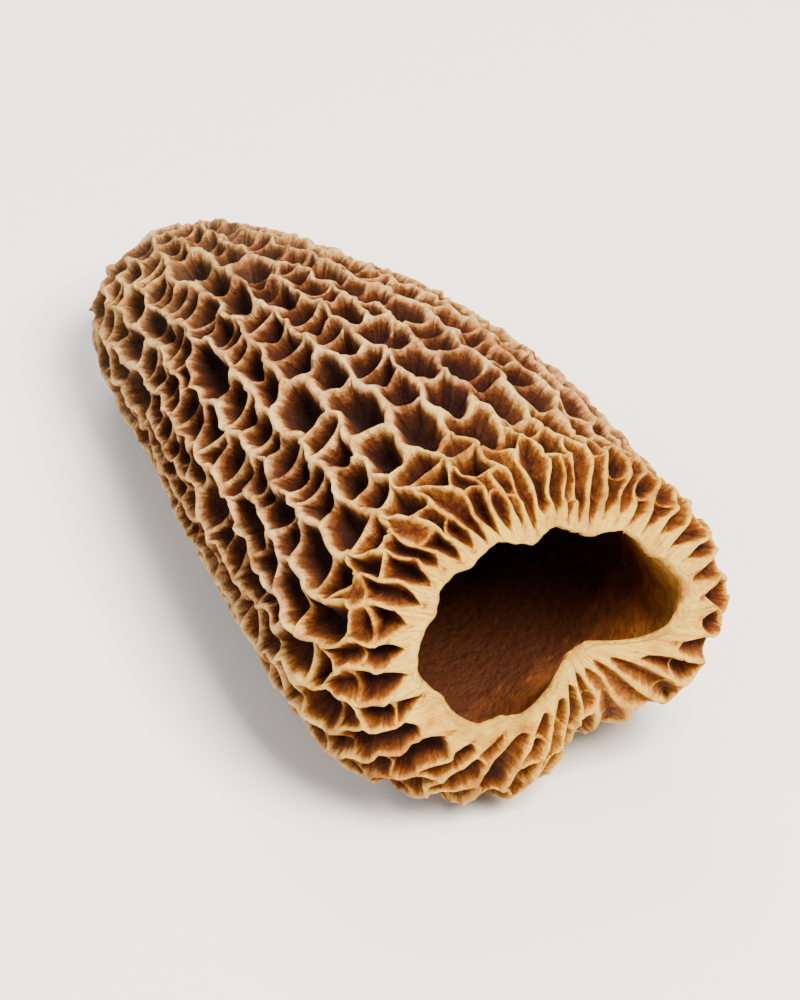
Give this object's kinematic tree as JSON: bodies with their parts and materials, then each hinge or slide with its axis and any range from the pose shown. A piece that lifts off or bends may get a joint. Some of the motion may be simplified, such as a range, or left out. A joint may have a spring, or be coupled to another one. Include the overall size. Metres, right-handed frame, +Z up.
{
  "type": "dried morel mushroom cap",
  "caption": "Hollow cap of a dried morel mushroom, a rounded cone with a net of ribs and deep pits, cut at the stem and open at its folded mouth, lying on its side",
  "frame": {"origin": "on the surface the cap lies on, below the middle of its bounding box", "axes": "+Z up, +Y from the mouth towards the tip along the cap's length, +X to the right seen from the mouth"},
  "size_m": [0.0282, 0.058, 0.0256],
  "materials": {
    "dried_flesh": "matte"
  },
  "bodies": {
    "root": {"morel_cap": "dried_flesh"}
  },
  "joints": []
}
